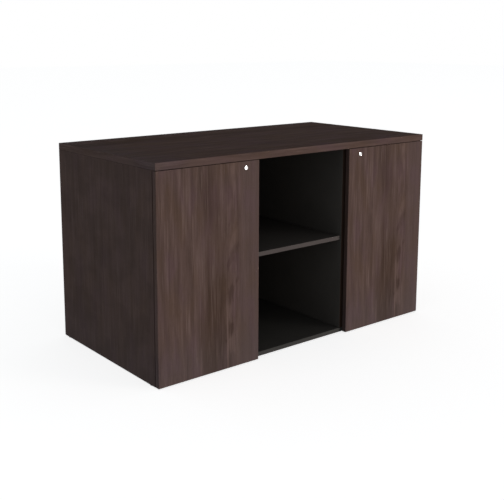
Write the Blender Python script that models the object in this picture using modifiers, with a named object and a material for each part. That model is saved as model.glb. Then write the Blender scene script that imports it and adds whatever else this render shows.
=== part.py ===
"""Office credenza: two lockable cupboards with an open, shelved bay between them.

Metres, +Z up. The doors face -Y, and the origin is on the floor under the middle of the cabinet.
LEFT and RIGHT are the signs of X as seen from the front.
"""
import math

import bmesh
import bpy
from mathutils import Matrix, Vector

LEFT = -1
RIGHT = 1
SIDES = ((LEFT, "left"), (RIGHT, "right"))

# Cabinet
WIDTH = 1.300
DEPTH = 0.660
HEIGHT = 0.755
TOP_THICKNESS = 0.025
BOARD_THICKNESS = 0.018
BOTTOM_THICKNESS = 0.016
EDGE_ROUNDING = 0.0008
SEAT = 0.0003

# Doors: the gaps are to the carcass behind, the top above and the outer face of the side
DOOR_WIDTH = 0.426
DOOR_THICKNESS = 0.018
DOOR_BACK_GAP = 0.002
DOOR_TOP_GAP = 0.002
DOOR_REVEAL = 0.001
DIVIDER_OVERLAP = 0.004

# Shelves and their pins
SHELF_THICKNESS = 0.016
SHELF_RISE = 0.355
SHELF_SETBACK = 0.006
SHELF_BACK_GAP = 0.004
PIN_RADIUS = 0.0025
PIN_INSERT = 0.007
PIN_REACH = 0.010
PIN_FLANGE_RADIUS = 0.004
PIN_FLANGE_THICKNESS = 0.0012
PIN_INSET = 0.050

# Glides
GLIDE_HEIGHT = 0.003
GLIDE_RADIUS = 0.008
GLIDE_CHAMFER = 0.001
GLIDE_INSET = 0.030

# Hinge cup, let into the back of the door
HINGE_INSET = 0.100
CUP_RADIUS = 0.0175
CUP_DEPTH = 0.012
CUP_WALL = 0.001
CUP_EDGE = 0.004
CUP_RIM = 0.0008
CUP_FLANGE_THICKNESS = 0.001
CUP_TAB_WIDTH = 0.018
CUP_TAB_REACH = 0.026

# Hinge plate and arm, on the inner face of the side panel
WING_SPAN = 0.052
WING_WIDTH = 0.013
WING_THICKNESS = 0.0022
PLATE_SETBACK = 0.037
PLATE_LENGTH = 0.042
PLATE_WIDTH = 0.012
PLATE_HEIGHT = 0.006
ARM_WIDTH = 0.014
ARM_THICKNESS = 0.0065
ARM_FRONT = 0.006
KNUCKLE_RADIUS = 0.0023
KNUCKLE_OFFSET = 0.0115
KNUCKLE_DEPTH = 0.006
KNUCKLE_PIN_RADIUS = 0.001

# Hinge link, between the arm's knuckle and the cup
LINK_WIDTH = 0.010
LINK_TIP_RADIUS = 0.0011
LINK_TIP_OFFSET = 0.0085
LINK_TIP_DEPTH = 0.002

# The door turns about one upright axis, so far in from its back face. It lies where the door's
# back edge swings past the front of the side panel with this much to spare.
POLE_DEPTH = 0.012
SWING_CLEARANCE = 0.00035

# Locks
LOCK_INSET = 0.059
LOCK_DROP = 0.023
BEZEL_RADIUS = 0.007
BEZEL_PROUD = 0.002
BEZEL_CHAMFER = 0.0007
BARREL_RADIUS = 0.006
BARREL_PAST_DOOR = 0.008
PLUG_RADIUS = 0.0045
PLUG_RECESS = 0.0004
PLUG_CLEARANCE = 0.0003
KEYWAY_WIDTH = 0.0014
KEYWAY_HEIGHT = 0.006
KEYWAY_DEPTH = 0.012
NUT_RADIUS = 0.011
NUT_THICKNESS = 0.003
NUT_FLATS = 6
CAM_LENGTH = 0.021
CAM_WIDTH = 0.011
CAM_TIP_RADIUS = 0.003
CAM_THICKNESS = 0.002
KEEPER_WIDTH = 0.044
KEEPER_DROP = 0.010
KEEPER_LEG = 0.025
KEEPER_THICKNESS = 0.002
KEEPER_CAM_GAP = 0.0012

# Facets, the weld of coincident points, and how far a cutter stands out of what it cuts
FINE_STEPS = 24
SMALL_STEPS = 12
ARC_STEPS = 6
EDGE_STEPS = 2
SHARP_ANGLE = math.radians(35)
WELD = 0.00001
CUT_MARGIN = 0.001

# Planes that the pieces share
FRONT_Y = BEZEL_PROUD - (DEPTH + BEZEL_PROUD) / 2
BACK_Y = FRONT_Y + DEPTH
DOOR_BACK_Y = FRONT_Y + DOOR_THICKNESS
CARCASS_Y = DOOR_BACK_Y + DOOR_BACK_GAP
BACK_PANEL_Y = BACK_Y - BOARD_THICKNESS
SIDE_X = WIDTH / 2
SIDE_INNER_X = SIDE_X - BOARD_THICKNESS
DOOR_OUTER_X = SIDE_X - DOOR_REVEAL
DOOR_INNER_X = DOOR_OUTER_X - DOOR_WIDTH
DIVIDER_OUTER_X = DOOR_INNER_X + DIVIDER_OVERLAP
DIVIDER_INNER_X = DIVIDER_OUTER_X - BOARD_THICKNESS
COMPARTMENTS = (
    ("left", -SIDE_INNER_X, -DIVIDER_OUTER_X),
    ("centre", -DIVIDER_INNER_X, DIVIDER_INNER_X),
    ("right", DIVIDER_OUTER_X, SIDE_INNER_X))
BASE_Z = GLIDE_HEIGHT + SEAT
FLOOR_Z = BASE_Z + BOTTOM_THICKNESS
UNDER_TOP_Z = HEIGHT - TOP_THICKNESS
DOOR_TOP_Z = UNDER_TOP_Z - DOOR_TOP_GAP
SHELF_Z = FLOOR_Z + SHELF_RISE
PIN_Z = SHELF_Z - SEAT - PIN_RADIUS
SHELF_END_GAP = PIN_FLANGE_THICKNESS + 2 * SEAT
SHELF_FRONT_Y = CARCASS_Y + SHELF_SETBACK
SHELF_BACK_Y = BACK_PANEL_Y - SHELF_BACK_GAP
PIN_YS = (SHELF_FRONT_Y + PIN_INSET, SHELF_BACK_Y - PIN_INSET)
HINGE_ZS = (("upper", DOOR_TOP_Z - HINGE_INSET), ("lower", BASE_Z + HINGE_INSET))

# The door's axis, and the hinge's points, measured in from the side's outer face and back from
# the front of the carcass
POLE_REACH = POLE_DEPTH + DOOR_BACK_GAP - SWING_CLEARANCE
POLE_IN = DOOR_REVEAL + math.sqrt(POLE_REACH ** 2 - POLE_DEPTH ** 2)
POLE_X = SIDE_X - POLE_IN
POLE_Y = DOOR_BACK_Y - POLE_DEPTH
CUP_IN = DOOR_REVEAL + CUP_EDGE + CUP_RADIUS
PLATE_IN = BOARD_THICKNESS + SEAT
ARM_IN = PLATE_IN + PLATE_HEIGHT + SEAT
KNUCKLE = Vector((CUP_IN + KNUCKLE_OFFSET, -DOOR_BACK_GAP - KNUCKLE_DEPTH))
LINK_TIP = Vector((CUP_IN - LINK_TIP_OFFSET, -DOOR_BACK_GAP - LINK_TIP_DEPTH))

# The lock, measured out from the door's face
LOCK_X = DOOR_INNER_X + LOCK_INSET
LOCK_Z = DOOR_TOP_Z - LOCK_DROP
BARREL_END = -DOOR_THICKNESS - BARREL_PAST_DOOR
PLUG_END = BARREL_END - SEAT
CAM_FRONT = PLUG_END - SEAT
KEEPER_Y = FRONT_Y - CAM_FRONT - KEEPER_CAM_GAP - KEEPER_THICKNESS

# Turns that carry a local +Z to the front, to the back, or a flat outline into the YZ plane
FACE_FRONT = (math.pi / 2, 0, 0)
FACE_BACK = (-math.pi / 2, 0, 0)
STAND_IN_YZ = (math.pi / 2, 0, math.pi / 2)
HALF_TURN = (0, math.pi, 0)
NO_TURN = (0, 0, 0)


def linear(channel):
    """Linear value of one 0-255 sRGB channel."""
    value = channel / 255
    if value <= 0.04045:
        return value / 12.92
    return ((value + 0.055) / 1.055) ** 2.4


def finish(name, rgb, roughness, metallic=0.0):
    """A Principled material of one sRGB colour."""
    material = bpy.data.materials.new(name)
    material.use_nodes = True
    shader = material.node_tree.nodes["Principled BSDF"]
    shader.inputs["Base Color"].default_value = [linear(c) for c in rgb] + [1.0]
    shader.inputs["Roughness"].default_value = roughness
    shader.inputs["Metallic"].default_value = metallic
    return material


def new_collection(name):
    collection = bpy.data.collections.new(name)
    bpy.context.scene.collection.children.link(collection)
    return collection


for old in list(bpy.data.objects):
    bpy.data.objects.remove(old, do_unlink=True)
PARTS = new_collection("office_credenza")
CUTTERS = new_collection("cutters")
WALNUT = finish("dark_walnut_laminate", (88, 72, 66), 0.45)
GRAPHITE = finish("graphite_melamine", (78, 76, 74), 0.5)
NICKEL = finish("nickel_plated_steel", (190, 188, 184), 0.3, 1.0)
CHROME = finish("chrome_plated_zinc", (225, 225, 225), 0.12, 1.0)
BLACK_NYLON = finish("black_nylon", (24, 24, 24), 0.6)


def add(obj, material, parent=None, location=(0, 0, 0), turn=NO_TURN):
    """Put a finished piece among the parts, placed in its parent's frame."""
    PARTS.objects.link(obj)
    obj.data.materials.append(material)
    obj.parent = parent
    obj.location = location
    obj.rotation_euler = turn
    return obj


def pivot(name, location, parent=None, turn=NO_TURN):
    """An empty that carries the pieces of one moving or mounted group."""
    empty = bpy.data.objects.new(name, None)
    PARTS.objects.link(empty)
    empty.parent = parent
    empty.location = location
    empty.rotation_euler = turn
    return empty


def mesh_object(name, form):
    mesh = bpy.data.meshes.new(name)
    form.to_mesh(mesh)
    form.free()
    return bpy.data.objects.new(name, mesh)


def add_box(form, low, high):
    low, high = Vector(low), Vector(high)
    scale = Matrix.Diagonal((high - low).to_4d())
    bmesh.ops.create_cube(form, size=1, matrix=Matrix.Translation((low + high) / 2) @ scale)


def box(name, low, high):
    form = bmesh.new()
    add_box(form, low, high)
    return mesh_object(name, form)


def board(name, low, high):
    """A board with its edges eased."""
    obj = box(name, low, high)
    bevel = obj.modifiers.new("Eased edges", "BEVEL")
    bevel.width = EDGE_ROUNDING
    bevel.segments = EDGE_STEPS
    bevel.limit_method = "ANGLE"
    return obj


def add_cylinder(form, start, end, radius, steps):
    start, end = Vector(start), Vector(end)
    along = end - start
    turn = Vector((0, 0, 1)).rotation_difference(along).to_matrix().to_4x4()
    bmesh.ops.create_cone(
        form, cap_ends=True, segments=steps, radius1=radius, radius2=radius, depth=along.length,
        matrix=Matrix.Translation((start + end) / 2) @ turn)


def solid(source):
    """The evaluated form of a curve or a turned profile, as a welded mesh with smooth rounds."""
    name = source.name
    CUTTERS.objects.link(source)
    bpy.context.view_layer.update()
    evaluated = source.evaluated_get(bpy.context.evaluated_depsgraph_get())
    form = bmesh.new()
    form.from_mesh(bpy.data.meshes.new_from_object(evaluated))
    bmesh.ops.remove_doubles(form, verts=form.verts, dist=WELD)
    bpy.data.objects.remove(source, do_unlink=True)
    obj = mesh_object(name, form)
    obj.data.shade_smooth()
    obj.data.set_sharp_from_angle(angle=SHARP_ANGLE)
    return obj


def turned(name, profile, steps, ring=False):
    """A profile of (radius, height) points, listed down its outer side, turned about Z."""
    count = len(profile)
    edges = [(i, i + 1) for i in range(count - 1)]
    if ring:
        edges.append((count - 1, 0))
    mesh = bpy.data.meshes.new(name)
    mesh.from_pydata([(radius, 0, height) for radius, height in profile], edges, [])
    outline = bpy.data.objects.new(name, mesh)
    screw = outline.modifiers.new("Turn", "SCREW")
    screw.steps = steps
    screw.render_steps = steps
    screw.use_merge_vertices = True
    screw.merge_threshold = WELD
    return solid(outline)


def arc(centre, radius, start, end):
    """Points on an arc between two angles in degrees."""
    angles = [math.radians(start + (end - start) * i / ARC_STEPS) for i in range(ARC_STEPS + 1)]
    return [Vector((centre[0] + radius * math.cos(a), centre[1] + radius * math.sin(a))) for a in angles]


def plate(name, outline, thickness):
    """A flat outline in XY, with its thickness centred on Z = 0, as a mesh."""
    curve = bpy.data.curves.new(name, "CURVE")
    curve.dimensions = "2D"
    curve.fill_mode = "BOTH"
    curve.extrude = thickness / 2
    spline = curve.splines.new("POLY")
    spline.points.add(len(outline) - 1)
    spline.use_cyclic_u = True
    for point, place in zip(spline.points, outline):
        point.co = (place[0], place[1], 0, 1)
    return solid(bpy.data.objects.new(name, curve))


def combine(obj, form, operation, label):
    """Cut the shapes in a form out of a piece, or join them to it, in the piece's own frame."""
    tool = mesh_object(obj.name + "_" + label, form)
    CUTTERS.objects.link(tool)
    tool.parent = obj
    tool.hide_render = True
    tool.display_type = "WIRE"
    boolean = obj.modifiers.new(label, "BOOLEAN")
    boolean.operation = operation
    boolean.object = tool


def drill_pin_holes(obj, faces):
    """Shelf-pin holes in an upright board, from each (face, direction out of the face)."""
    form = bmesh.new()
    for face, out in faces:
        for y in PIN_YS:
            start = (face + out * CUT_MARGIN, y, PIN_Z)
            end = (face - out * (PIN_INSERT + SEAT), y, PIN_Z)
            add_cylinder(form, start, end, PIN_RADIUS + SEAT, SMALL_STEPS)
    combine(obj, form, "DIFFERENCE", "pin_holes")


def build_carcass():
    upright_top = UNDER_TOP_Z - SEAT
    add(board("top_panel", (-SIDE_X, FRONT_Y, UNDER_TOP_Z), (SIDE_X, BACK_Y, HEIGHT)), WALNUT)
    for side, word in SIDES:
        low_x, high_x = sorted((side * SIDE_X, side * SIDE_INNER_X))
        panel = board(word + "_side_panel", (low_x, CARCASS_Y, BASE_Z), (high_x, BACK_Y, upright_top))
        add(panel, WALNUT)
        drill_pin_holes(panel, [(side * SIDE_INNER_X, -side)])
        low_x, high_x = sorted((side * DIVIDER_OUTER_X, side * DIVIDER_INNER_X))
        divider = board(word + "_divider", (low_x, CARCASS_Y, FLOOR_Z + SEAT),
                        (high_x, BACK_PANEL_Y - SEAT, upright_top))
        add(divider, GRAPHITE)
        drill_pin_holes(divider, [(side * DIVIDER_OUTER_X, side), (side * DIVIDER_INNER_X, -side)])
    inner = SIDE_INNER_X - SEAT
    add(board("bottom_panel", (-inner, CARCASS_Y, BASE_Z), (inner, BACK_PANEL_Y - SEAT, FLOOR_Z)), GRAPHITE)
    add(board("back_panel", (-inner, BACK_PANEL_Y, BASE_Z), (inner, BACK_Y, upright_top)), WALNUT)


def shelf_pin(name):
    flange_end = SEAT + PIN_FLANGE_THICKNESS
    profile = (
        (0, PIN_REACH), (PIN_RADIUS, PIN_REACH), (PIN_RADIUS, flange_end), (PIN_FLANGE_RADIUS, flange_end),
        (PIN_FLANGE_RADIUS, SEAT), (PIN_RADIUS, SEAT), (PIN_RADIUS, -PIN_INSERT), (0, -PIN_INSERT))
    return turned(name, profile, SMALL_STEPS)


def build_shelves():
    for word, left_wall, right_wall in COMPARTMENTS:
        low = (left_wall + SHELF_END_GAP, SHELF_FRONT_Y, SHELF_Z)
        high = (right_wall - SHELF_END_GAP, SHELF_BACK_Y, SHELF_Z + SHELF_THICKNESS)
        add(board(word + "_shelf", low, high), GRAPHITE)
        for wall, out, end in ((left_wall, RIGHT, "left"), (right_wall, LEFT, "right")):
            for y, place in zip(PIN_YS, ("front", "rear")):
                pin = shelf_pin("_".join((word, "shelf_pin", end, place)))
                add(pin, NICKEL, location=(wall, y, PIN_Z), turn=(0, out * math.pi / 2, 0))


def build_glides():
    profile = (
        (0, GLIDE_HEIGHT), (GLIDE_RADIUS, GLIDE_HEIGHT), (GLIDE_RADIUS, GLIDE_CHAMFER),
        (GLIDE_RADIUS - GLIDE_CHAMFER, 0), (0, 0))
    columns = (("side", SIDE_X - BOARD_THICKNESS / 2), ("divider", DIVIDER_OUTER_X - BOARD_THICKNESS / 2))
    rows = (("front", CARCASS_Y + GLIDE_INSET), ("rear", BACK_Y - GLIDE_INSET))
    for side, word in SIDES:
        for column, x in columns:
            for row, y in rows:
                glide = turned("_".join((word, column, "glide", row)), profile, SMALL_STEPS)
                add(glide, BLACK_NYLON, location=(side * x, y, 0))


def hinge_cup(name):
    """Cup with its mouth at local +Z, and the door's back face at local Z = 0."""
    inner = CUP_RADIUS - CUP_WALL
    rim = CUP_RADIUS + CUP_RIM
    flange_top = SEAT + CUP_FLANGE_THICKNESS
    profile = (
        (0, CUP_WALL - CUP_DEPTH), (inner, CUP_WALL - CUP_DEPTH), (inner, flange_top), (rim, flange_top),
        (rim, SEAT), (CUP_RADIUS, SEAT), (CUP_RADIUS, -CUP_DEPTH), (0, -CUP_DEPTH))
    cup = turned(name, profile, FINE_STEPS)
    tabs = bmesh.new()
    for end in (-1, 1):
        near, far = sorted((end * (CUP_RADIUS - CUP_WALL / 2), end * CUP_TAB_REACH))
        add_box(tabs, (-CUP_TAB_WIDTH / 2, near, SEAT), (CUP_TAB_WIDTH / 2, far, flange_top))
    combine(cup, tabs, "UNION", "screw_tabs")
    return cup


def hinge_plate(name):
    """Winged plate, on the side panel's inner face."""
    low = (PLATE_IN, PLATE_SETBACK - WING_WIDTH / 2, -WING_SPAN / 2)
    high = (PLATE_IN + WING_THICKNESS, PLATE_SETBACK + WING_WIDTH / 2, WING_SPAN / 2)
    winged = box(name, low, high)
    base = bmesh.new()
    add_box(base, (PLATE_IN, PLATE_SETBACK - PLATE_LENGTH / 2, -PLATE_WIDTH / 2),
            (PLATE_IN + PLATE_HEIGHT, PLATE_SETBACK + PLATE_LENGTH / 2, PLATE_WIDTH / 2))
    combine(winged, base, "UNION", "base")
    return winged


def hinge_arm(name):
    """Arm along the plate, with a forked nose that dips into the cup and holds the link's pin."""
    back = PLATE_SETBACK + PLATE_LENGTH / 2
    top = ARM_IN + ARM_THICKNESS
    nose = arc(KNUCKLE, KNUCKLE_RADIUS, 180, 360)
    neck = KNUCKLE.x - KNUCKLE_RADIUS
    shoulder = KNUCKLE.x + KNUCKLE_RADIUS
    drop = neck - ARM_IN
    outline = [
        (ARM_IN, back), (ARM_IN, ARM_FRONT), (neck, ARM_FRONT - drop), *nose,
        (shoulder, ARM_FRONT), (top, ARM_FRONT + shoulder - top), (top, back)]
    arm = plate(name, outline, ARM_WIDTH)
    slot = bmesh.new()
    reach = Vector((KNUCKLE_RADIUS + CUT_MARGIN, KNUCKLE_RADIUS + CUT_MARGIN, LINK_WIDTH / 2 + SEAT))
    centre = KNUCKLE.to_3d()
    add_box(slot, centre - reach, centre + reach)
    combine(arm, slot, "DIFFERENCE", "link_slot")
    rivet = bmesh.new()
    half = LINK_WIDTH / 2 + SEAT + (ARM_WIDTH - LINK_WIDTH) / 4
    add_cylinder(rivet, (*KNUCKLE, -half), (*KNUCKLE, half), KNUCKLE_PIN_RADIUS, SMALL_STEPS)
    combine(arm, rivet, "UNION", "link_pin")
    return arm


def hinge_link(name):
    """Link from the arm's pin, at the local origin, to its free tip inside the cup."""
    tip = LINK_TIP - KNUCKLE
    heading = math.degrees(math.atan2(tip.y, tip.x))
    outline = arc((0, 0), KNUCKLE_RADIUS, heading + 90, heading + 270)
    outline += arc(tip, LINK_TIP_RADIUS, heading - 90, heading + 90)
    link = plate(name, outline, LINK_WIDTH)
    bore = bmesh.new()
    reach = LINK_WIDTH / 2 + CUT_MARGIN
    add_cylinder(bore, (0, 0, -reach), (0, 0, reach), KNUCKLE_PIN_RADIUS + SEAT, SMALL_STEPS)
    combine(link, bore, "DIFFERENCE", "pin_bore")
    return link


def build_hinges(side, word, door_pivot):
    turn = NO_TURN if side == LEFT else HALF_TURN
    for level, z in HINGE_ZS:
        name = word + "_" + level + "_hinge_"
        mount = pivot(name + "mount", (side * SIDE_X, CARCASS_Y, z), turn=turn)
        add(hinge_plate(name + "plate"), NICKEL, mount)
        add(hinge_arm(name + "arm"), NICKEL, mount)
        add(hinge_link(name + "link"), NICKEL, mount, (*KNUCKLE, 0))
        cup_place = Vector((side * (SIDE_X - CUP_IN), DOOR_BACK_Y, z)) - door_pivot.location
        add(hinge_cup(name + "cup"), NICKEL, door_pivot, cup_place, FACE_BACK)


def build_door(side, word):
    """Door slab, bored for its two cups and its lock, with its origin on the door's axis."""
    axis = Vector((side * POLE_X, POLE_Y, 0))
    door_pivot = pivot(word + "_door_pivot", axis)
    low_x, high_x = sorted((side * DOOR_OUTER_X, side * DOOR_INNER_X))
    low = Vector((low_x, FRONT_Y, BASE_Z)) - axis
    high = Vector((high_x, DOOR_BACK_Y, DOOR_TOP_Z)) - axis
    door = add(board(word + "_door", low, high), WALNUT, door_pivot)
    bores = bmesh.new()
    for _, z in HINGE_ZS:
        mouth = Vector((side * (SIDE_X - CUP_IN), DOOR_BACK_Y + CUT_MARGIN, z)) - axis
        depth = Vector((0, CUT_MARGIN + CUP_DEPTH + SEAT, 0))
        add_cylinder(bores, mouth, mouth - depth, CUP_RADIUS + SEAT, FINE_STEPS)
    front = Vector((side * LOCK_X, FRONT_Y - CUT_MARGIN, LOCK_Z)) - axis
    through = Vector((0, DOOR_THICKNESS + 2 * CUT_MARGIN, 0))
    add_cylinder(bores, front, front + through, BARREL_RADIUS + SEAT, FINE_STEPS)
    combine(door, bores, "DIFFERENCE", "bores")
    return door_pivot


def lock_barrel(name):
    """Barrel with its bezel, seated on the door's face at local Z = 0."""
    bore = PLUG_RADIUS + PLUG_CLEARANCE
    profile = (
        (bore, BEZEL_PROUD), (BEZEL_RADIUS - BEZEL_CHAMFER, BEZEL_PROUD),
        (BEZEL_RADIUS, BEZEL_PROUD - BEZEL_CHAMFER), (BEZEL_RADIUS, SEAT), (BARREL_RADIUS, SEAT),
        (BARREL_RADIUS, BARREL_END), (bore, BARREL_END))
    return turned(name, profile, FINE_STEPS, ring=True)


def lock_plug(name):
    face = BEZEL_PROUD - PLUG_RECESS
    profile = ((0, face), (PLUG_RADIUS, face), (PLUG_RADIUS, PLUG_END), (0, PLUG_END))
    plug = turned(name, profile, FINE_STEPS)
    keyway = bmesh.new()
    add_box(keyway, (-KEYWAY_WIDTH / 2, -KEYWAY_HEIGHT / 2, face - KEYWAY_DEPTH),
            (KEYWAY_WIDTH / 2, KEYWAY_HEIGHT / 2, face + CUT_MARGIN))
    combine(plug, keyway, "DIFFERENCE", "keyway")
    return plug


def lock_nut(name):
    """Hexagon nut on the barrel, seated on the door's back."""
    seat = -DOOR_THICKNESS - SEAT
    end = seat - NUT_THICKNESS
    hexagon = bmesh.new()
    add_cylinder(hexagon, (0, 0, end), (0, 0, seat), NUT_RADIUS, NUT_FLATS)
    nut = mesh_object(name, hexagon)
    bore = bmesh.new()
    add_cylinder(bore, (0, 0, end - CUT_MARGIN), (0, 0, seat + CUT_MARGIN), BARREL_RADIUS + SEAT, FINE_STEPS)
    combine(nut, bore, "DIFFERENCE", "bore")
    return nut


def lock_cam(name):
    """Cam on the end of the plug, unlocked: it points along local -X."""
    half = CAM_WIDTH / 2
    tip = (CAM_TIP_RADIUS - CAM_LENGTH, 0)
    outline = arc((0, 0), half, -90, 90) + arc(tip, CAM_TIP_RADIUS, 90, 270)
    return plate(name, outline, CAM_THICKNESS)


def keeper(name):
    """Angle under the top: its leg hangs between the door and the locked cam."""
    leg, drop, wall = KEEPER_LEG, KEEPER_DROP, KEEPER_THICKNESS
    outline = ((0, 0), (leg, 0), (leg, -wall), (wall, -wall), (wall, -drop), (0, -drop))
    return plate(name, outline, KEEPER_WIDTH)


def build_lock(side, word, door_pivot):
    place = Vector((side * LOCK_X, FRONT_Y, LOCK_Z)) - door_pivot.location
    name = word + "_lock_"
    turning = pivot(name + "pivot", place, door_pivot, FACE_FRONT)
    add(lock_barrel(name + "barrel"), CHROME, door_pivot, place, FACE_FRONT)
    add(lock_nut(name + "nut"), NICKEL, door_pivot, place, FACE_FRONT)
    add(lock_plug(name + "plug"), CHROME, turning)
    add(lock_cam(name + "cam"), NICKEL, turning, (0, 0, CAM_FRONT - CAM_THICKNESS / 2))
    add(keeper(name + "keeper"), NICKEL, None, (side * LOCK_X, KEEPER_Y, UNDER_TOP_Z - SEAT), STAND_IN_YZ)


build_carcass()
build_shelves()
build_glides()
for door_side, door_word in SIDES:
    swing = build_door(door_side, door_word)
    build_hinges(door_side, door_word, swing)
    build_lock(door_side, door_word, swing)
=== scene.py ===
"""Looks of the office credenza: dark walnut laminate outside, graphite melamine inside, plated fittings.

Metres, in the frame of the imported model: the doors face -Y and the floor is Z = 0.
"""
import math
from functools import partial

import bmesh
import bpy
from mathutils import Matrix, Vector


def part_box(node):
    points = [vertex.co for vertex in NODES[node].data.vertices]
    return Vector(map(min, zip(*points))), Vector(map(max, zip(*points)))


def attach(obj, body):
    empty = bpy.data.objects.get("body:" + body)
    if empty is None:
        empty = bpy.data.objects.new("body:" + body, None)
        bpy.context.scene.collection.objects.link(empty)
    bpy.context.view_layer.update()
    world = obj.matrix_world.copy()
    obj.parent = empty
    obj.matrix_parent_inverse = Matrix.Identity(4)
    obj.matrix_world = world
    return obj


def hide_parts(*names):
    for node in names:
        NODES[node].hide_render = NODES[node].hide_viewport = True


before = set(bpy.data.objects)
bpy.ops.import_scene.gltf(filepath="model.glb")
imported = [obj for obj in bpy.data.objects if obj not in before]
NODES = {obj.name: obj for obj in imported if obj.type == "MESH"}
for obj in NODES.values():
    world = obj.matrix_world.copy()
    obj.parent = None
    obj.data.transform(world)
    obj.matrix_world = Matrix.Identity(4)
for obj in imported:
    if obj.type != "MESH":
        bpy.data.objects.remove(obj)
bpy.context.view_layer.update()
SIDES = ("left", "right")
LEVELS = ("upper", "lower")
MM = 0.001

# Camera: the photograph's viewpoint, with verticals that nearly stay upright
CAMERA_PLACE = (-2.054, -2.506, 1.138)
CAMERA_YAW = math.radians(38.38)
CAMERA_PITCH = math.radians(-9.57)
CAMERA_LENS = 59.4
CAMERA_SHIFT = (0.0337, -0.14)

# Studio: sizes and places in metres, energy in watts, tints as linear RGB
FLOOR_SIZE = 60.0
FLOOR_GLOW = 0.76
KEY_SIZE = (7.8, 2.1)
KEY_PLACE = (14.3, -19.0, 0.65)
KEY_WATTS = 5500
KEY_TINT = (1.0, 0.97, 0.94)
FILL_SIZE = (3.0, 1.0)
FILL_PLACE = (-6.0, 0.6, 0.5)
FILL_WATTS = 49
FILL_TINT = (0.87, 1.09, 1.23)
AIM = (0.0, 0.0, 0.4)
AMBIENT = 0.29
AMBIENT_TINT = (0.92, 1.0, 1.05, 1.0)
WHITE = "#ffffff"

# Directions, and turns that carry a local +Z to the front, to the back, down or off a board
SIDEWAYS = (1, 0, 0)
BACKWARDS = (0, 1, 0)
UPWARDS = (0, 0, 1)
FORWARDS = (0, -1, 0)
DOWNWARDS = (0, 0, -1)
INWARD = {"left": Vector((1, 0, 0)), "right": Vector((-1, 0, 0))}
FACE_FRONT = (math.pi / 2, 0, 0)
FACE_BACK = (-math.pi / 2, 0, 0)
FACE_DOWN = (math.pi, 0, 0)
INTO_CUPBOARD = {"left": (math.pi / 2, 0, math.pi / 2), "right": (-math.pi / 2, 0, math.pi / 2)}
OUT_OF_WALL = {"left": (0, math.pi / 2, 0), "right": (0, -math.pi / 2, 0)}

# Marks of the walnut print: width and length in millimetres, then octaves and seed of their noise.
# Real fibres and pores are too fine to show in the render, so both are drawn wider and longer than life.
MARKS = {
    "wander": (90, 400, 1, 3.1),
    "bands": (18, 260, 3, 0.0),
    "patches": (60, 170, 2, 21.0),
    "clouds": (110, 95, 2, 31.4),
    "heartwood": (22, 180, 2, 15.2),
    "flames": (12, 38, 2, 13.7),
    "glow": (30, 90, 1, 11.6),
    "fade": (50, 140, 1, 17.0),
    "pale_lines": (5.0, 150, 2, 5.3),
    "dark_lines": (4.0, 170, 2, 8.8),
    "fibres": (1.4, 110, 1, 25.3),
    "pores": (0.9, 22, 1, 9.7),
}

# Colours of the walnut print: the ground from its darkest band to its palest, and the inks over it
GROUND = ((0.28, "#4b3c37"), (0.45, "#55443f"), (0.56, "#5b4944"), (0.72, "#675550"))
INKS = {
    "pink_patch": "#5c4650",
    "warm_patch": "#55412f",
    "calm_stretch": "#5a4d4d",
    "cloud": "#332a26",
    "heartwood": "#3a2c22",
    "grey_foot": "#575053",
    "flame": "#382a25",
    "pale_wood": "#75605a",
    "pale_line": "#7a6660",
    "dark_line": "#3b2c27",
    "fibre": "#43332d",
    "pore": "#33261f",
    "graphite_face": "#4a4846",
}

# Layout of the walnut print, in millimetres: how far fibres wander, how high its flames stand and how far
# apart, how much they lean, and how far before the heart its pale line runs
SWAY = 16
FIRST_FLAME = 140
FLAME_PITCH = 130
FLAME_LEAN = 0.4
PALE_LINE = 17

# A soft change: a node that makes one takes a value, the two ends of its range, and what it gives at each.
# The value is a place in millimetres or the level of a noise, and what it gives is mostly an ink's share.
SOFTLY = {"interpolation_type": "SMOOTHSTEP"}

# Fittings: the gap between seated pieces, the rounding of the metal, and facets
SEAT = 0.3 * MM
FINE_EDGE = 0.25 * MM
PRESSED_EDGE = 0.6 * MM
ROUND_STEPS = 64
SMALL_STEPS = 32
ARC_STEPS = 6
WELD = 0.01 * MM
FLAT_ANGLE = math.radians(1)
SMOOTH_ANGLE = math.radians(35)

# Sizes that pieces of one fitting share, and where its screws go
BARREL_SHOULDER = 1.0 * MM
STRIKE_WALL = 2.0 * MM
STRIKE_SCREW_INSET = 9 * MM
STRIKE_SCREW_REACH = 14 * MM
CUP_ROLL = 0.3 * MM
CUP_SCREW_INSET = 5.2 * MM
WING_WIDTH = 13.0 * MM
WING_THICKNESS = 2.2 * MM
ARM_STANDOFF = 13.1 * MM
ARM_SCREW_INSETS = (8 * MM, 30 * MM)
PIN_INSERT = 7 * MM


def colour(code):
    """Linear RGBA of an sRGB hex value."""
    channels = [int(code[i:i + 2], 16) / 255 for i in (1, 3, 5)]
    return [c / 12.92 if c <= 0.04045 else ((c + 0.055) / 1.055) ** 2.4 for c in channels] + [1.0]


def feed(socket, value):
    """Link another node's output to an input socket, or set the socket to a plain value."""
    if isinstance(value, bpy.types.NodeSocket):
        socket.id_data.links.new(value, socket)
    else:
        socket.default_value = value


def add_node(tree, kind, *values, inputs=None, output=None, **settings):
    """Add a shader node with its settings, feed it, and return one of its outputs.

    The values feed the inputs that its settings leave in use, in order, and inputs feeds them by name.
    Where no output is named, the first one in use is returned.
    """
    node = tree.nodes.new("ShaderNode" + kind)
    for setting, value in settings.items():
        setattr(node, setting, value)
    in_use = [socket for socket in node.inputs if socket.enabled]
    for socket, value in zip(in_use, values):
        feed(socket, value)
    for name, value in (inputs or {}).items():
        feed(node.inputs[name], value)
    if output:
        return node.outputs[output]
    return next(socket for socket in node.outputs if socket.enabled)


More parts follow.
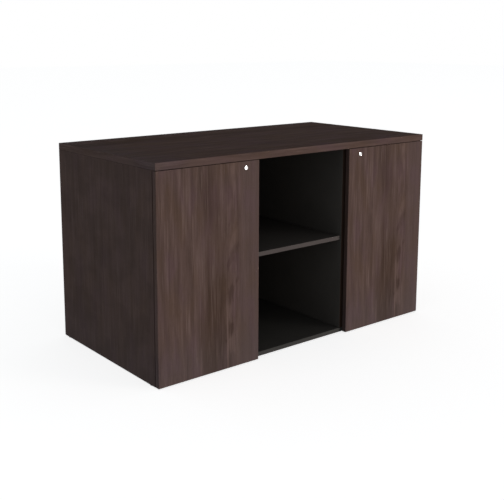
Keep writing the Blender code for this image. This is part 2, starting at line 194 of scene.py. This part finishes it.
def new_material(name, roughness, specular=0.5, metallic=0.0):
    """A material, what adds nodes to it, and its Principled shader."""
    material = bpy.data.materials.new(name)
    material.use_nodes = True
    shader = material.node_tree.nodes["Principled BSDF"]
    feed(shader.inputs["Roughness"], roughness)
    feed(shader.inputs["Specular IOR Level"], specular)
    feed(shader.inputs["Metallic"], metallic)
    return material, partial(add_node, material.node_tree), shader


def facing(add, direction, or_away=False):
    """1 on the faces that look one way, and on those that look the other way if asked, 0 elsewhere."""
    normal = add("TexCoord", output="Normal")
    towards = add("VectorMath", normal, direction, operation="DOT_PRODUCT")
    if or_away:
        towards = add("Math", towards, operation="ABSOLUTE")
    return add("Math", towards, 0.5, operation="GREATER_THAN")


def print_axes(add, board, grain, width):
    """Millimetres across and along the grain from a board's low corner. Edge bands run along their edges."""
    through = Vector([abs(part) for part in Vector(grain).cross(Vector(width))])
    on_end = facing(add, grain, or_away=True)
    across = add("Mix", on_end, Vector(width) + through, through, data_type="VECTOR")
    along = add("Mix", on_end, grain, width, data_type="VECTOR")
    corner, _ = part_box(board)
    from_corner = add("VectorMath", add("TexCoord", output="Object"), corner, operation="SUBTRACT")
    in_mm = add("VectorMath", from_corner, 1 / MM, operation="SCALE")
    return [add("VectorMath", in_mm, axis, operation="DOT_PRODUCT") for axis in (across, along)]


def streaks(add, place, mark):
    """One kind of mark in the print: noise drawn out along the grain."""
    width, length, octaves, seed = MARKS[mark]
    cell = add("VectorMath", place, (1 / width, 1 / length, 0), (0, 0, seed), operation="MULTIPLY_ADD")
    return add("TexNoise", inputs={"Vector": cell, "Scale": 1.0, "Detail": octaves})


def heartwood(add, along_fibres, past_heart, up, figure):
    """A column that comes and goes, and widens and darkens towards the foot, where the print turns greyer."""
    offset = add("MapRange", up, 0, 700, 60, 82, **SOFTLY)
    from_middle = add("Math", add("Math", past_heart, offset, operation="ADD"), operation="ABSOLUTE")
    half_width = add("MapRange", up, 100, 500, 36, 10, **SOFTLY)
    outside = add("Math", from_middle, half_width, operation="SUBTRACT")
    column = add("MapRange", outside, 0, 45, 1, 0, **SOFTLY)
    depth = add("MapRange", up, 50, 600, 0.50 * figure, 0.32 * figure, **SOFTLY)
    uneven = add("MapRange", streaks(add, along_fibres, "heartwood"), 0.3, 0.7, 0.6, 1.4, **SOFTLY)
    foot = add("MapRange", up, 20, 200, 0.25 * figure, 0, **SOFTLY)
    return [("heartwood", column, depth, uneven), ("grey_foot", foot)]


def flames(add, past_heart, up, figure):
    """Ragged strokes that lean out at the heart, in pale wood, clear low down and faint higher up."""
    at_heart = add("CombineXYZ", past_heart, up)
    ragged = add("MapRange", streaks(add, at_heart, "flames"), 0.3, 0.7, 0.4, 1.6, **SOFTLY)
    from_first = add("Math", up, FIRST_FLAME, operation="SUBTRACT")
    rise = add("Math", from_first, FLAME_PITCH / 2, -FLAME_PITCH / 2, operation="WRAP")
    aside = add("Math", rise, -FLAME_LEAN, past_heart, operation="MULTIPLY_ADD")
    off_line = add("Math", add("Math", aside, operation="ABSOLUTE"), ragged, operation="MULTIPLY")
    off_centre = add("Math", add("Math", rise, operation="ABSOLUTE"), ragged, operation="MULTIPLY")
    stroke = add("MapRange", off_line, 3, 16, 1, 0, **SOFTLY)
    length = add("MapRange", off_centre, 14, 44, 1, 0, **SOFTLY)
    strength = add("MapRange", up, 100, 620, 0.58 * figure, 0.12 * figure, **SOFTLY)
    above_foot = add("MapRange", up, 40, 80, 0, 1, **SOFTLY)

    # Pale wood glows about the strokes, and a thin pale line runs beside the lowest ones
    glow = add("MapRange", streaks(add, at_heart, "glow"), 0.52, 0.68, 0, 0.25 * figure, **SOFTLY)
    near_heart = add("MapRange", add("Math", past_heart, operation="ABSOLUTE"), 14, 40, 1, 0, **SOFTLY)
    from_line = add("Math", add("Math", past_heart, PALE_LINE, operation="ADD"), operation="ABSOLUTE")
    line = add("MapRange", from_line, 1, 5, 0.40 * figure, 0, **SOFTLY)
    low_down = add("MapRange", up, 200, 320, 1, 0, **SOFTLY)
    return [("flame", stroke, length, strength, above_foot), ("pale_wood", glow, near_heart),
            ("pale_wood", line, low_down)]


def print_over(add, tone, rows):
    """Print inks over a tone, one after another, each as strong as the product of its shares."""
    for ink, amount, *shares in rows:
        for share in shares:
            amount = add("Math", amount, share, operation="MULTIPLY")
        tone = add("Mix", amount, tone, colour(INKS[ink]), data_type="RGBA")
    return tone


def walnut_laminate(board, grain, width, heart, figure=1.0, clouds=0.0, lined=None):
    """Walnut-print melamine laminate, pressed with a wood-pore emboss, so that it is matt.

    The eye sees broken streaks along the grain, a darker heartwood column, a few leaning flames beside it
    and a calmer stretch past them. The print is measured in millimetres from the board's low corner. grain
    and width are the axes along and across its face. heart is how far across the flames stand. figure
    scales the print's contrast, and clouds is how much broad soft patches darken it. lined is the way that
    the board's plain graphite face looks.
    """
    material, add, shader = new_material(board + "_walnut_laminate", roughness=0.8, specular=0.004)
    over, up = print_axes(add, board, grain, width)
    flat = add("CombineXYZ", over, up)

    # Fibres wander sideways, and the print is calmer past the heart
    leftmost = add("Math", over, SWAY / 2, operation="SUBTRACT")
    wander = add("Math", streaks(add, flat, "wander"), SWAY, leftmost, operation="MULTIPLY_ADD")
    along_fibres = add("CombineXYZ", wander, up)
    past_heart = add("Math", wander, heart, operation="SUBTRACT")
    lively = add("MapRange", past_heart, 20, 60, figure, figure / 2, **SOFTLY)
    calm = add("MapRange", past_heart, 20, 60, 0, 0.25, **SOFTLY)

    # Soft broken bands give the ground tone, pinker in some patches and warmer in others
    bands = streaks(add, along_fibres, "bands")
    swing = add("Math", bands, 0.5, operation="SUBTRACT")
    ground = add("ValToRGB", add("Math", swing, lively, 0.5, operation="MULTIPLY_ADD"))
    stops = ground.node.color_ramp.elements
    while len(stops) < len(GROUND):
        stops.new(0.5)
    for stop, (position, code) in zip(stops, GROUND):
        stop.position = position
        stop.color = colour(code)
    patches = streaks(add, along_fibres, "patches")
    pink = add("MapRange", patches, 0.50, 0.68, 0, 0.24 * figure, **SOFTLY)
    warm = add("MapRange", patches, 0.32, 0.50, 0.24 * figure, 0, **SOFTLY)
    rows = [("pink_patch", pink), ("warm_patch", warm), ("calm_stretch", calm)]
    if clouds:
        cloudy = add("MapRange", streaks(add, flat, "clouds"), 0.35, 0.65, 0, clouds, **SOFTLY)
        rows.append(("cloud", cloudy))
    rows += heartwood(add, along_fibres, past_heart, up, figure)
    rows += flames(add, past_heart, up, figure)

    # Thin pale and dark lines that fade in and out, then fine fibres and pores
    fade = add("MapRange", streaks(add, along_fibres, "fade"), 0.35, 0.60, 0.25, 1, **SOFTLY)
    pale = add("MapRange", streaks(add, along_fibres, "pale_lines"), 0.54, 0.72, 0, 0.31, **SOFTLY)
    dark = add("MapRange", streaks(add, along_fibres, "dark_lines"), 0.54, 0.72, 0, 0.27, **SOFTLY)
    fibres = add("MapRange", streaks(add, along_fibres, "fibres"), 0.45, 0.75, 0, 0.24, **SOFTLY)
    pores = streaks(add, along_fibres, "pores")
    sunk = add("MapRange", pores, 0.58, 0.75, 0, 0.30, **SOFTLY)
    rows += [("pale_line", pale, fade, lively), ("dark_line", dark, fade, lively)]
    rows += [("fibre", fibres), ("pore", sunk)]
    if lined:
        rows.append(("graphite_face", facing(add, lined)))
    feed(shader.inputs["Base Color"], print_over(add, ground, rows))

    # The emboss follows the bands and sinks at the pores
    feed(shader.inputs["Roughness"], add("MapRange", bands, 0.3, 0.7, 0.76, 0.84, **SOFTLY))
    relief = add("Math", pores, -0.6, bands, operation="MULTIPLY_ADD")
    emboss = add("Bump", inputs={"Height": relief, "Strength": 0.25, "Distance": 0.15 * MM})
    feed(shader.inputs["Normal"], emboss)
    return material


def graphite_melamine(name, face, edge):
    """Melamine-faced board, pressed with a pearl emboss: even, matt dark grey faces and a front edge band.
    Each board is given its own face and edge tones, and some of these tones are painted light or shade.

    Real pearl is about 0.4 mm across, too fine to show in the render, so it is drawn at 1.6 mm.
    """
    material, add, shader = new_material(name, roughness=0.8, specular=0.03)
    place = add("TexCoord", output="Object")
    pearl = add("TexNoise", inputs={"Vector": place, "Scale": 1 / (1.6 * MM), "Detail": 2})
    cloud = add("TexNoise", inputs={"Vector": place, "Scale": 1 / (120 * MM), "Detail": 3})
    banded = add("Mix", facing(add, FORWARDS), colour(face), colour(edge), data_type="RGBA")
    mottle = add("MapRange", add("Math", pearl, cloud, operation="ADD"), 0.6, 1.4, 0.9, 1.1)
    feed(shader.inputs["Base Color"], add("VectorMath", banded, mottle, operation="SCALE"))
    emboss = add("Bump", inputs={"Height": pearl, "Strength": 0.3, "Distance": 0.1 * MM})
    feed(shader.inputs["Normal"], emboss)
    return material


def plated_metal(name, code, roughness):
    """Plated metal, polished before plating: a clean bright skin with a faint haze."""
    material, add, shader = new_material(name, roughness, metallic=1.0)
    place = add("TexCoord", output="Object")
    haze = add("TexNoise", inputs={"Vector": place, "Scale": 1 / (3 * MM), "Detail": 3})
    feed(shader.inputs["Roughness"], add("MapRange", haze, 0, 1, 0.7 * roughness, 1.4 * roughness))
    feed(shader.inputs["Base Color"], colour(code))
    return material


def black_nylon():
    """Moulded nylon: near-black with a dull sheen.

    The grain of a real mould is about 0.1 mm, too fine to show in the render, so it is drawn at 0.5 mm.
    """
    material, add, shader = new_material("black_nylon", roughness=0.5)
    place = add("TexCoord", output="Object")
    grain = add("TexNoise", inputs={"Vector": place, "Scale": 1 / (0.5 * MM)})
    emboss = add("Bump", inputs={"Height": grain, "Strength": 0.2, "Distance": 0.05 * MM})
    feed(shader.inputs["Normal"], emboss)
    feed(shader.inputs["Base Color"], colour("#181818"))
    return material


def dress(node_name, material):
    """Give a CAD node its finish."""
    piece = NODES[node_name]
    piece.data.materials.clear()
    piece.data.materials.append(material)


def dress_boards():
    """Walnut on the outer boards, and graphite on the inner ones and on the outer ones' inner faces."""
    for side in SIDES:
        door = side + "_door"
        panel = side + "_side_panel"
        dress(door, walnut_laminate(door, UPWARDS, SIDEWAYS, heart=303))
        dress(panel, walnut_laminate(
            panel, UPWARDS, BACKWARDS, heart=850, figure=0.45, clouds=0.24, lined=INWARD[side]))
    dress("top_panel", walnut_laminate(
        "top_panel", SIDEWAYS, BACKWARDS, heart=620, figure=0.9, lined=DOWNWARDS))
    dress("back_panel", walnut_laminate("back_panel", UPWARDS, SIDEWAYS, heart=700, lined=FORWARDS))
    inside = {
        # Dividers: their faces are paler than the shelf's and the bottom's as painted light on the bay's
        # walls, and their front edge is a near-black brown that is partly a dark edge band and partly painted
        # shade from the doors beside it
        "_divider": graphite_melamine("divider_graphite_melamine", face="#585450", edge="#2e221c"),
        "_shelf": graphite_melamine("shelf_graphite_melamine", face="#413d3a", edge="#514a48"),
        # The bottom's front edge is darker than the shelf's as painted shade
        "bottom_panel": graphite_melamine("bottom_graphite_melamine", face="#413e3b", edge="#3f3d3b"),
    }
    for name in NODES:
        for ending, melamine in inside.items():
            if name.endswith(ending):
                dress(name, melamine)


def middle(box):
    """Centre of a (low, high) box."""
    return (box[0] + box[1]) / 2


def half(box):
    """Half the size of a (low, high) box."""
    return (box[1] - box[0]) / 2


def make_active(piece):
    """Select one piece alone, for the operators that follow."""
    bpy.ops.object.select_all(action="DESELECT")
    piece.select_set(True)
    bpy.context.view_layer.objects.active = piece


def apply_modifier(piece, modifier):
    """Make a modifier's result the piece's own mesh."""
    make_active(piece)
    bpy.ops.object.modifier_apply(modifier=modifier.name)


def discard(*models):
    """Remove models that have been copied, or tools that have cut."""
    for model in models:
        bpy.data.objects.remove(model, do_unlink=True)


def new_piece(name):
    """Name the primitive that was just added, and keep its place in its mesh."""
    piece = bpy.context.object
    piece.name = name
    bpy.ops.object.transform_apply()
    return piece


def clean_up(piece):
    """Weld coincident points, drop slivers, turn all faces outwards and leave edit mode."""
    bpy.ops.mesh.select_all(action="SELECT")
    bpy.ops.mesh.remove_doubles(threshold=WELD)
    bpy.ops.mesh.dissolve_degenerate(threshold=WELD)
    bpy.ops.mesh.normals_make_consistent(inside=False)
    bpy.ops.object.mode_set(mode="OBJECT")
    return piece


def select_faces(piece, test):
    """In edit mode, select just the faces whose centre and normal pass a test."""
    bpy.ops.mesh.select_mode(type="FACE")
    bpy.ops.mesh.select_all(action="DESELECT")
    form = bmesh.from_edit_mesh(piece.data)
    for face in form.faces:
        face.select_set(test(face.calc_center_median(), face.normal))
    bmesh.update_edit_mesh(piece.data)


def arc(centre, radii, start, end):
    """(radius, height) pairs along part of an ellipse, between two angles in degrees."""
    angles = [math.radians(start + (end - start) * i / ARC_STEPS) for i in range(ARC_STEPS + 1)]
    return [(centre[0] + radii[0] * math.cos(a), centre[1] + radii[1] * math.sin(a)) for a in angles]


def turned(name, profile, steps=ROUND_STEPS, ring=False):
    """A round piece about Z: a circle drawn out through (radius, height) pairs, and back if it is a ring."""
    bpy.ops.object.select_all(action="DESELECT")
    radius, height = profile[0]
    bpy.ops.mesh.primitive_circle_add(vertices=steps, radius=radius, location=(0, 0, height),
                                      fill_type="NOTHING" if ring else "NGON")
    piece = new_piece(name)
    bpy.ops.object.mode_set(mode="EDIT")
    bpy.ops.mesh.select_mode(type="VERT")
    bpy.ops.mesh.select_all(action="SELECT")
    for next_radius, next_height in profile[1:] + (profile[:1] if ring else []):
        bpy.ops.mesh.extrude_region_move(TRANSFORM_OT_translate={"value": (0, 0, next_height - height)})
        growth = next_radius / radius
        bpy.ops.transform.resize(value=(growth, growth, 1), center_override=(0, 0, next_height))
        radius, height = next_radius, next_height
    return clean_up(piece)


def block(name, low, high):
    """A box between two corners, to be shaped further."""
    corners = (Vector(low), Vector(high))
    bpy.ops.object.select_all(action="DESELECT")
    bpy.ops.mesh.primitive_cube_add(size=1, location=middle(corners), scale=2 * half(corners))
    return new_piece(name)


def plate_round(name, discs, bottom, top):
    """A flat plate with the outline of a band stretched round discs of (x, y, radius)."""
    bpy.ops.object.select_all(action="DESELECT")
    piece = None
    for x, y, radius in discs:
        bpy.ops.mesh.primitive_cylinder_add(
            vertices=SMALL_STEPS, radius=radius, depth=top - bottom, location=(x, y, (top + bottom) / 2))
        if piece is None:
            piece = new_piece(name)
            bpy.ops.object.mode_set(mode="EDIT")
    bpy.ops.mesh.select_all(action="SELECT")
    bpy.ops.mesh.convex_hull()
    bpy.ops.mesh.dissolve_limited(angle_limit=FLAT_ANGLE)
    return clean_up(piece)


def ease(piece, width, segments=3):
    """Round a piece's sharp edges."""
    bevel = piece.modifiers.new("eased_edges", "BEVEL")
    bevel.width = width
    bevel.segments = segments
    bevel.limit_method = "ANGLE"
    bevel.angle_limit = SMOOTH_ANGLE
    apply_modifier(piece, bevel)
    return piece


def combine(piece, tool, operation):
    """Cut a tool out of a piece, join it on, or keep what both share."""
    boolean = piece.modifiers.new("combine", "BOOLEAN")
    boolean.operation = operation
    boolean.object = tool
    apply_modifier(piece, boolean)
    discard(tool)
    bpy.ops.object.mode_set(mode="EDIT")
    return clean_up(piece)


def seat(piece, place, turn=(0, 0, 0)):
    """Turn a piece and set it where it belongs, with its place in its mesh."""
    make_active(piece)
    piece.location = place
    piece.rotation_euler = turn
    bpy.ops.object.transform_apply()
    return piece


def copy_of(piece, name):
    """A copy with a mesh of its own."""
    twin = piece.copy()
    twin.data = piece.data.copy()
    twin.name = name
    bpy.context.scene.collection.objects.link(twin)
    return twin


def softened(node_name, name, width):
    """A copy of a plain CAD fitting with its facets merged and its edges eased."""
    piece = copy_of(NODES[node_name], name)
    piece.parent = None
    for key in list(piece.keys()):
        del piece[key]
    make_active(piece)
    bpy.ops.object.mode_set(mode="EDIT")
    bpy.ops.mesh.select_all(action="SELECT")
    bpy.ops.mesh.remove_doubles(threshold=WELD)
    bpy.ops.mesh.dissolve_limited(angle_limit=FLAT_ANGLE)
    return ease(clean_up(piece), width)


def fit(piece, body, material, slot, *nodes):
    """Smooth and dress a finished piece, and set it on its body in place of the plain solids."""
    make_active(piece)
    bpy.ops.object.shade_smooth_by_angle(angle=SMOOTH_ANGLE)
    piece.data.materials.clear()
    piece.data.materials.append(material)
    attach(piece, body)
    if nodes:
        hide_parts(*nodes)


def screw_head(radius):
    """Pan head on Z = 0 with a crossed slot cut down to its rim."""
    rim = 0.35 * radius
    dome = arc((0, rim), (radius, 0.4 * radius), 0, 80)
    head = turned("screw_head", [(radius, 0.0)] + dome, SMALL_STEPS)
    reach = 0.62 * radius
    half_width = 0.12 * radius
    for x, y in ((reach, half_width), (half_width, reach)):
        combine(head, block("slot", (-x, -y, rim), (x, y, radius)), "DIFFERENCE")
    return head


def drive_screws(name, head, places, turn, body, material):
    """Copies of a screw head at several places, joined as one piece."""
    heads = [seat(copy_of(head, name), place, turn) for place in places]
    make_active(heads[0])
    for each in heads:
        each.select_set(True)
    if len(heads) > 1:
        bpy.ops.object.join()
    fit(heads[0], body, material, "nickel_plated_steel")


def bezel_and_barrel(bezel, bore, end, proud, door_thickness):
    """Lock body: a dished bezel with a rounded rim, on a barrel threaded behind the door."""
    dish = 0.6 * MM
    lip = 0.4 * MM
    rounding = 0.6 * MM
    pitch = 1.0 * MM
    thread_depth = 0.35 * MM
    barrel = bezel - BARREL_SHOULDER
    face = [(bore, proud - dish), (bore + lip, proud - dish / 3), (bezel - rounding - lip, proud)]
    rim = arc((bezel - rounding, proud - rounding), (rounding, rounding), 90, 0)[1:]
    thread = []
    for i in range(int((-door_thickness - end) / pitch)):
        crest = -door_thickness - i * pitch
        thread += [(barrel, crest), (barrel - thread_depth, crest - pitch / 2)]
    profile = face + rim + [(bezel, SEAT), (barrel, SEAT)] + thread + [(barrel, end), (bore, end)]
    return turned("bezel_and_barrel", profile, ring=True)


def key_plug(radius, end, face):
    """Turning plug with a chamfered face and a round-ended keyway."""
    chamfer = 0.4 * MM
    slot_half_width = 0.7 * MM
    slot_depth = 12.0 * MM
    reach = 0.62 * radius
    plug = turned("key_plug", [(radius, end), (radius, face - chamfer), (radius - chamfer, face)])
    ends = [(0, y, slot_half_width) for y in (-reach, reach)]
    return combine(plug, plate_round("keyway", ends, face - slot_depth, face + MM), "DIFFERENCE")


def ring_nut(corner, bore, bottom, top):
    """Hexagon nut with chamfered corners."""
    chamfer = 0.5 * MM
    face = 0.88 * corner
    bpy.ops.object.select_all(action="DESELECT")
    bpy.ops.mesh.primitive_cylinder_add(
        vertices=6, radius=corner, depth=top - bottom, location=(0, 0, (bottom + top) / 2))
    nut = new_piece("ring_nut")
    combine(nut, turned("chamfered_disc", [
        (face, bottom), (corner, bottom + chamfer), (corner, top - chamfer), (face, top)]), "INTERSECT")
    return combine(nut, turned("nut_bore", [(bore, bottom - MM), (bore, top + MM)]), "DIFFERENCE")


def tongue(hub, reach, bottom, top):
    """Cam: a flat tongue that tapers from its hub to a round tip."""
    tip = 3.0 * MM
    return ease(plate_round("tongue", [(0, 0, hub), (tip - reach, 0, tip)], bottom, top), FINE_EDGE)


def strike(low, high):
    """Keeper: a bent plate under the top, with a lip that the tongue turns up behind."""
    bend = low.y + STRIKE_WALL
    underside = high.z - STRIKE_WALL
    plate = block("strike", (low.x, low.y, underside), high)
    bpy.ops.object.mode_set(mode="EDIT")
    bpy.ops.mesh.select_all(action="SELECT")
    bpy.ops.mesh.bisect(plane_co=(0, bend, 0), plane_no=BACKWARDS)
    select_faces(plate, lambda centre, normal: normal.z < -0.9 and centre.y < bend)
    bpy.ops.mesh.extrude_region_move(TRANSFORM_OT_translate={"value": (0, 0, low.z - underside)})
    return ease(clean_up(plate), PRESSED_EDGE)


def make_locks(chrome, nickel, head):
    """Cam locks: each part is modelled once about its axis, with the door's face at Z = 0, then copied."""
    face, door_back = (corner.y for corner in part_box("left_door"))
    barrel, plug, nut, cam, keeper = (
        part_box("left_lock_" + part) for part in ("barrel", "plug", "nut", "cam", "keeper"))
    barrel_ends, plug_ends, nut_ends, cam_ends = (
        (face - high.y, face - low.y) for low, high in (barrel, plug, nut, cam))
    axis = middle(barrel)
    bezel = half(barrel).x
    plug_radius = half(plug).x
    models = {
        "bezel_and_barrel": bezel_and_barrel(bezel, plug_radius + SEAT, *barrel_ends, door_back - face),
        "key_plug": key_plug(plug_radius, *plug_ends),
        "ring_nut": ring_nut(half(nut).z, bezel - BARREL_SHOULDER + SEAT, *nut_ends),
        "tongue": tongue(half(cam).z, axis.x - cam[0].x, *cam_ends),
    }
    bent_plate = strike(*(corner - Vector((axis.x, 0, axis.z)) for corner in keeper))

    # For each model: what carries its copies, their finish and slot, and the solid that they stand for
    rows = (
        ("bezel_and_barrel", "door", chrome, "chrome_plated_zinc", "barrel"),
        ("key_plug", "lock", chrome, "chrome_plated_zinc", "plug"),
        ("ring_nut", "door", nickel, "nickel_plated_steel", "nut"),
        ("tongue", "lock", nickel, "nickel_plated_steel", "cam"),
    )
    for side in SIDES:
        lock = side + "_lock"
        axis = middle(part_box(lock + "_barrel"))
        for name, carrier, metal, slot, node in rows:
            piece = seat(copy_of(models[name], lock + "_" + name), (axis.x, face, axis.z), FACE_FRONT)
            fit(piece, side + "_" + carrier, metal, slot, lock + "_" + node)
        drive_screws(lock + "_tongue_screw", head, [(axis.x, cam[1].y, axis.z)], FACE_BACK, lock, nickel)
        piece = seat(copy_of(bent_plate, lock + "_strike"), (axis.x, 0, axis.z))
        fit(piece, "cabinet", nickel, "nickel_plated_steel", lock + "_keeper")
        holes = [(axis.x + x, keeper[1].y - STRIKE_SCREW_INSET, keeper[1].z - STRIKE_WALL)
                 for x in (-STRIKE_SCREW_REACH, STRIKE_SCREW_REACH)]
        drive_screws(lock + "_strike_screws", head, holes, FACE_DOWN, "cabinet", nickel)
    discard(bent_plate, *models.values())


def cup_pressing(low, high, door_back):
    """Pressed hinge cup with its screw flange, about the cup's axis with the door's back at Z = 0."""
    sheet = 1.0 * MM
    corner = 1.2 * MM
    overhang = 0.8 * MM
    ear = 5.0 * MM
    spread = 4.0 * MM
    size = half((low, high))
    rim = size.x
    outer = rim - overhang
    inner = outer - sheet
    top = high.y - door_back
    bottom = low.y - door_back
    cup = turned("cup_pressing", [
        (outer - corner, bottom), (outer, bottom + corner), (outer, SEAT), (rim, SEAT), (rim, top - CUP_ROLL),
        (rim - CUP_ROLL, top), (inner + CUP_ROLL, top), (inner, top - CUP_ROLL), (inner, bottom + sheet)])
    ears = [(x, y, ear) for x in (-spread, spread) for y in (ear - size.z, size.z - ear)]
    flange = plate_round("flange", ears, SEAT, top - CUP_ROLL / 2)
    combine(flange, turned("cup_hole", [(outer, -MM), (outer, 2 * MM)]), "DIFFERENCE")
    return combine(cup, flange, "UNION")


def winged_plate(low, high):
    """Mounting plate: two screwed wings and a raised base for the arm. Its local X runs along the arm."""
    size = half((low, high))
    base_half_width = 6.0 * MM
    end = WING_WIDTH / 2
    wings = [(0, y, end) for y in (end - size.z, size.z - end)]
    plate = plate_round("winged_plate", wings, 0.0, WING_THICKNESS)
    base = block("base", (-size.y, -base_half_width, 0.0), (size.y, base_half_width, 2 * size.x))
    return ease(combine(plate, base, "UNION"), FINE_EDGE)


def make_hinges(nickel, head, small_head):
    """Concealed hinges: a cup in the door, and a plate, arm and link on the side panel."""
    slot = "nickel_plated_steel"
    door_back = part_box("left_door")[1].y
    cup_model = cup_pressing(*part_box("left_upper_hinge_cup"), door_back)
    plate_model = winged_plate(*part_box("left_upper_hinge_plate"))
    for side in SIDES:
        door = side + "_door"
        inward = INWARD[side]
        turn = INTO_CUPBOARD[side]
        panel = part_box(side + "_side_panel")
        wall_x = panel[1].x if side == "left" else panel[0].x
        for level in LEVELS:
            hinge = side + "_" + level + "_hinge_"
            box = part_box(hinge + "cup")
            axis = middle(box)
            cup = seat(copy_of(cup_model, hinge + "cup_pressing"), (axis.x, door_back, axis.z), FACE_BACK)
            fit(cup, door, nickel, slot, hinge + "cup")
            ear = half(box).z - CUP_SCREW_INSET
            holes = [(axis.x, box[1].y - CUP_ROLL / 2, axis.z + z) for z in (-ear, ear)]
            drive_screws(hinge + "cup_screws", head, holes, FACE_BACK, door, nickel)

            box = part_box(hinge + "plate")
            foot = Vector((wall_x, middle(box).y, middle(box).z)) + inward * SEAT
            plate = seat(copy_of(plate_model, hinge + "winged_plate"), foot, turn)
            fit(plate, "cabinet", nickel, slot, hinge + "plate")
            wing = half(box).z - WING_WIDTH / 2
            holes = [foot + inward * WING_THICKNESS + Vector((0, 0, z)) for z in (-wing, wing)]
            drive_screws(hinge + "plate_screws", head, holes, turn, "cabinet", nickel)

            arm = softened(hinge + "arm", hinge + "crank_arm", PRESSED_EDGE)
            fit(arm, "cabinet", nickel, slot, hinge + "arm")
            rear = Vector((wall_x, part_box(hinge + "arm")[1].y, foot.z)) + inward * ARM_STANDOFF
            holes = [rear - Vector((0, inset, 0)) for inset in ARM_SCREW_INSETS]
            drive_screws(hinge + "arm_screws", small_head, holes, turn, "cabinet", nickel)
            link = softened(hinge + "link", hinge + "link_bar", FINE_EDGE)
            fit(link, side + "_hinge_links", nickel, slot, hinge + "link")
    discard(cup_model, plate_model)


def shelf_peg(flange, length):
    """Shelf peg about Z: a shank with chamfered ends, and a flange that seats on the wall at Z = 0."""
    shank = 0.625 * flange
    nose = 0.4 * MM
    chamfer = 0.3 * MM
    flange_thickness = 1.2 * MM
    flange_top = SEAT + flange_thickness
    tip = length - PIN_INSERT
    return turned("shelf_peg", [
        (shank - nose, -PIN_INSERT), (shank, nose - PIN_INSERT), (shank, SEAT), (flange - chamfer, SEAT),
        (flange, SEAT + chamfer), (flange, flange_top), (shank, flange_top), (shank, tip - nose),
        (shank - nose, tip)], SMALL_STEPS)


def make_shelf_pegs(nickel):
    """One peg is modelled, and copied to each shelf pin's hole."""
    names = [name for name in NODES if "_shelf_pin_" in name]
    size = half(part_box(names[0]))
    model = shelf_peg(size.z, 2 * size.x)
    for name in names:
        wall = "left" if "_pin_left_" in name else "right"
        place = middle(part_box(name)) + INWARD[wall] * (PIN_INSERT - size.x)
        peg = seat(copy_of(model, name.replace("_pin_", "_peg_")), place, OUT_OF_WALL[wall])
        fit(peg, "cabinet", nickel, "nickel_plated_steel", name)
    discard(model)


def foot_glide(radius, height):
    """Nail-on glide with a rounded tread and a sunk nail hole."""
    rounding = 1.2 * MM
    nail_hole = 2.6 * MM
    nail_head = 1.8 * MM
    nail_depth = 0.9 * MM
    tread = arc((radius - rounding, rounding), (rounding, -rounding), 0, 90)
    sunk = [(nail_hole, 0.0), (nail_head, nail_depth)]
    return turned("foot_glide", [(radius, height)] + tread + sunk, SMALL_STEPS)


def make_feet(nylon):
    """One glide is modelled, and copied under each upright."""
    names = [name for name in NODES if "_glide_" in name]
    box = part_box(names[0])
    model = foot_glide(half(box).x, box[1].z)
    for name in names:
        centre = middle(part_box(name))
        foot = seat(copy_of(model, name.replace("_glide_", "_foot_")), (centre.x, centre.y, 0))
        fit(foot, "cabinet", nylon, "black_nylon", name)
    discard(model)


def make_fittings():
    """Locks, hinges, pegs and feet, with their screws."""
    nickel = plated_metal("nickel_plated_steel", "#c8c4bc", roughness=0.3)
    chrome = plated_metal("chrome_plated_zinc", "#e6e6e6", roughness=0.15)
    head = screw_head(3.5 * MM)
    small_head = screw_head(2.6 * MM)
    make_locks(chrome, nickel, head)
    make_hinges(nickel, head, small_head)
    make_shelf_pegs(nickel)
    make_feet(black_nylon())
    discard(head, small_head)


def seen_directly(add):
    """1 for rays that see the background itself: from the camera, in reflections and through glass."""
    seen = 0.0
    for ray in ("Is Camera Ray", "Is Glossy Ray", "Is Transmission Ray"):
        seen = add("Math", seen, add("LightPath", output=ray), operation="MAXIMUM")
    return seen


def lay_floor():
    """A pale matt floor that keeps the shadow and glows up to white where it is seen."""
    bpy.ops.object.select_all(action="DESELECT")
    bpy.ops.mesh.primitive_plane_add(size=FLOOR_SIZE)
    floor = bpy.context.object
    floor.name = "floor"
    material, add, shader = new_material("pale_floor", roughness=0.9, specular=0.0)
    feed(shader.inputs["Base Color"], colour("#ece6e3"))
    feed(shader.inputs["Emission Color"], colour(WHITE))
    glow = add("Math", seen_directly(add), FLOOR_GLOW, operation="MULTIPLY")
    feed(shader.inputs["Emission Strength"], glow)
    floor.data.materials.append(material)


def light_world():
    """A white backdrop where it is seen, and a dim cool light on the object."""
    world = bpy.data.worlds.new("studio")
    bpy.context.scene.world = world
    world.use_nodes = True
    add = partial(add_node, world.node_tree)
    seen = seen_directly(add)
    background = world.node_tree.nodes["Background"]
    feed(background.inputs["Color"], add("Mix", seen, AMBIENT_TINT, colour(WHITE), data_type="RGBA"))
    feed(background.inputs["Strength"], add("MapRange", seen, 0, 1, AMBIENT, 1))


def softbox(name, size, place, watts, tint):
    """A soft rectangular lamp that looks at the cabinet."""
    lamp = bpy.data.lights.new(name, "AREA")
    lamp.shape = "RECTANGLE"
    lamp.size, lamp.size_y = size
    lamp.energy = watts
    lamp.color = tint
    holder = bpy.data.objects.new(name, lamp)
    holder.location = place
    holder.rotation_euler = (Vector(AIM) - Vector(place)).to_track_quat("-Z", "Y").to_euler()
    holder.visible_camera = False
    bpy.context.scene.collection.objects.link(holder)


def build_camera():
    """The photograph's view."""
    data = bpy.data.cameras.new("camera")
    data.lens = CAMERA_LENS
    data.shift_x, data.shift_y = CAMERA_SHIFT
    camera = bpy.data.objects.new("camera", data)
    camera.location = CAMERA_PLACE
    camera.rotation_euler = (math.pi / 2 + CAMERA_PITCH, 0, -CAMERA_YAW)
    bpy.context.scene.collection.objects.link(camera)
    bpy.context.scene.camera = camera


dress_boards()
make_fittings()
lay_floor()
light_world()
softbox("key_softbox", KEY_SIZE, KEY_PLACE, KEY_WATTS, KEY_TINT)
softbox("fill_softbox", FILL_SIZE, FILL_PLACE, FILL_WATTS, FILL_TINT)
build_camera()
bpy.context.scene.view_settings.view_transform = "Standard"
